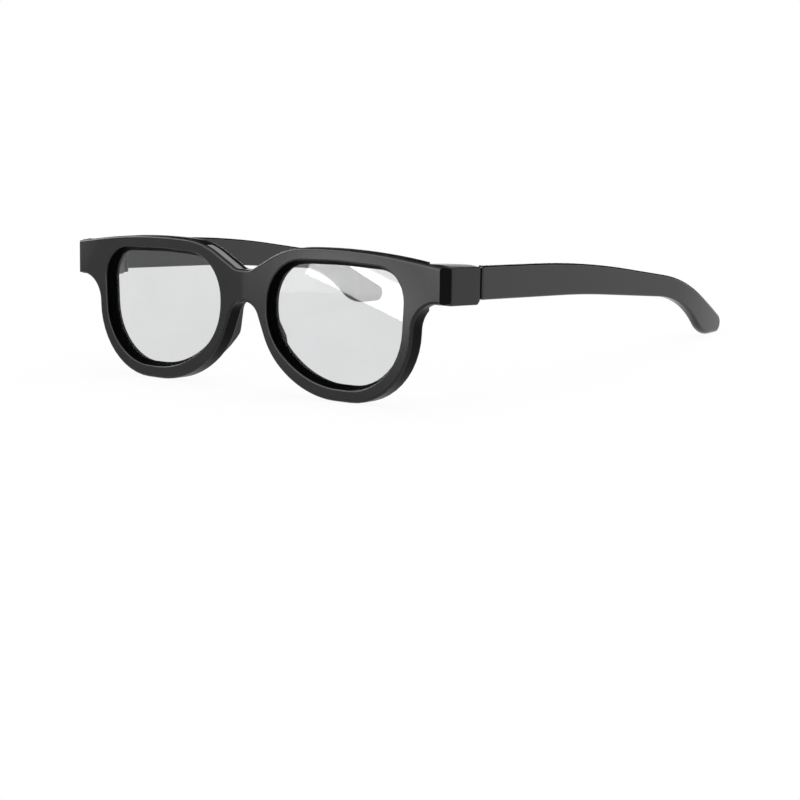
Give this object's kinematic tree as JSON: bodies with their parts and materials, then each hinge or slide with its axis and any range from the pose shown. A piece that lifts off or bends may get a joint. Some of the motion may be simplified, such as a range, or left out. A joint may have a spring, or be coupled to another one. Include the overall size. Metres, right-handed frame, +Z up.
{
  "type": "3d glasses",
  "caption": "Black moulded 3-D viewing glasses with a wide rimmed front, laminated polarising film lenses, moulded nose pads and flat temples that fold on pinned hinges.",
  "frame": {"origin": "nose seat: on the mid plane, under the arch of the bridge, half way through the front's depth", "axes": "+X to the wearer's left, +Y back along the open temples, +Z up as worn"},
  "size_m": [0.1546, 0.154, 0.0444],
  "materials": {
    "black_satin": "satin moulded",
    "strip_grey": "fine matt",
    "quarter_wave_film": "clear film",
    "polariser_film": "neutral grey film",
    "steel_pin": "drawn wire"
  },
  "bodies": {
    "front": {"front_frame": "black_satin", "left_quarter_wave_film": "quarter_wave_film", "right_quarter_wave_film": "quarter_wave_film", "left_polariser_film": "polariser_film", "right_polariser_film": "polariser_film", "left_closing_strip": "strip_grey", "right_closing_strip": "strip_grey", "left_nose_pad": "black_satin", "right_nose_pad": "black_satin", "left_hinge_block": "black_satin", "right_hinge_block": "black_satin", "left_hinge_pin": "steel_pin", "right_hinge_pin": "steel_pin"},
    "left_arm": {"left_temple": "black_satin"},
    "right_arm": {"right_temple": "black_satin"}
  },
  "joints": [
    {"name": "left_temple_fold", "type": "hinge", "parent": "front", "child": "left_arm", "pos_m": [0.0715, 0.01589, 0.0085], "axis": [0, 0, 1], "range_deg": [0, 90]},
    {"name": "right_temple_fold", "type": "hinge", "parent": "front", "child": "right_arm", "pos_m": [-0.0715, 0.01589, 0.0085], "axis": [0, 0, -1], "range_deg": [0, 82]}
  ]
}
